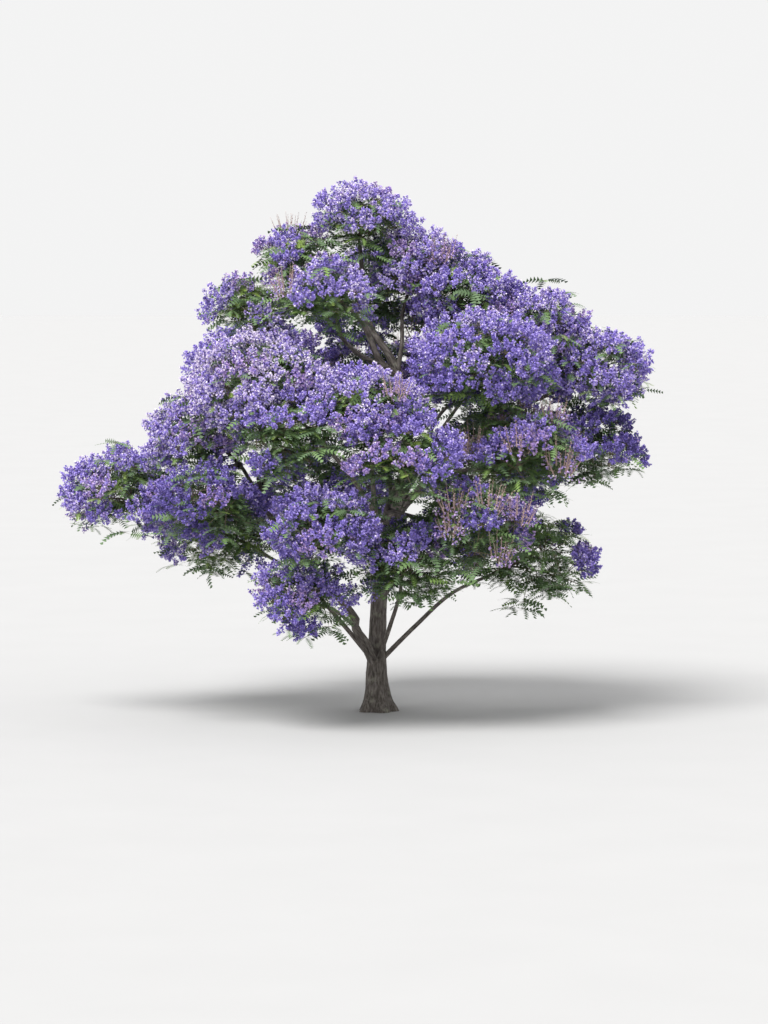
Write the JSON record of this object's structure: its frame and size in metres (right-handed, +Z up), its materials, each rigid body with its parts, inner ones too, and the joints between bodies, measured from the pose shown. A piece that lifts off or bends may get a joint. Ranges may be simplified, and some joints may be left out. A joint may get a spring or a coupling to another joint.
{
  "type": "jacaranda tree",
  "caption": "Broad jacaranda tree in full violet bloom: a leaning trunk, spreading boughs, and rounded masses of blossom over fern-like leaves.",
  "frame": {"origin": "middle of the flat cut under the trunk, at ground level", "axes": "+Z up, +X to the right of somebody who faces the tree from the pictured side, +Y away from them"},
  "size_m": [12.7538, 10.2476, 11.6908],
  "materials": {
    "bark": "rough grey-brown bark",
    "blossom": "soft violet petals",
    "foliage": "matt green leaves"
  },
  "bodies": {
    "root": {"trunk": "bark", "high_left_bough": "bark", "high_right_bough": "bark", "left_knob_bough": "bark", "upper_centre_bough": "bark", "upper_right_bough": "bark", "right_shoulder_bough": "bark", "right_wing_bough": "bark", "left_shelf_bough": "bark", "middle_right_bough": "bark", "belt_bough": "bark", "left_wing_bough": "bark", "far_left_bough": "bark", "under_left_bough": "bark", "left_middle_bough": "bark", "front_bough": "bark", "low_front_bough": "bark", "right_middle_bough": "bark", "right_end_bough": "bark", "low_right_bough": "bark", "skirt_right_bough": "bark", "tail_left_bough": "bark", "tail_right_bough": "bark", "skirt_left_bough": "bark", "back_crest_bough": "bark", "back_left_bough": "bark", "back_right_bough": "bark", "back_bough": "bark", "back_low_bough": "bark", "back_low_right_bough": "bark", "crest_mass": "blossom", "high_left_mass": "blossom", "high_right_mass": "blossom", "left_knob_mass": "blossom", "upper_centre_mass": "blossom", "upper_right_mass": "blossom", "right_shoulder_mass": "blossom", "right_wing_mass": "blossom", "left_shelf_mass": "blossom", "middle_right_mass": "blossom", "belt_mass": "blossom", "left_wing_mass": "blossom", "far_left_mass": "blossom", "under_left_mass": "blossom", "left_middle_mass": "foliage", "front_mass": "blossom", "low_front_mass": "blossom", "right_middle_mass": "blossom", "right_end_mass": "blossom", "low_right_mass": "blossom", "skirt_right_mass": "blossom", "tail_left_mass": "blossom", "tail_right_mass": "foliage", "skirt_left_mass": "blossom", "back_crest_mass": "blossom", "back_left_mass": "blossom", "back_right_mass": "blossom", "back_mass": "blossom", "back_low_mass": "blossom", "back_low_right_mass": "blossom"}
  },
  "joints": []
}
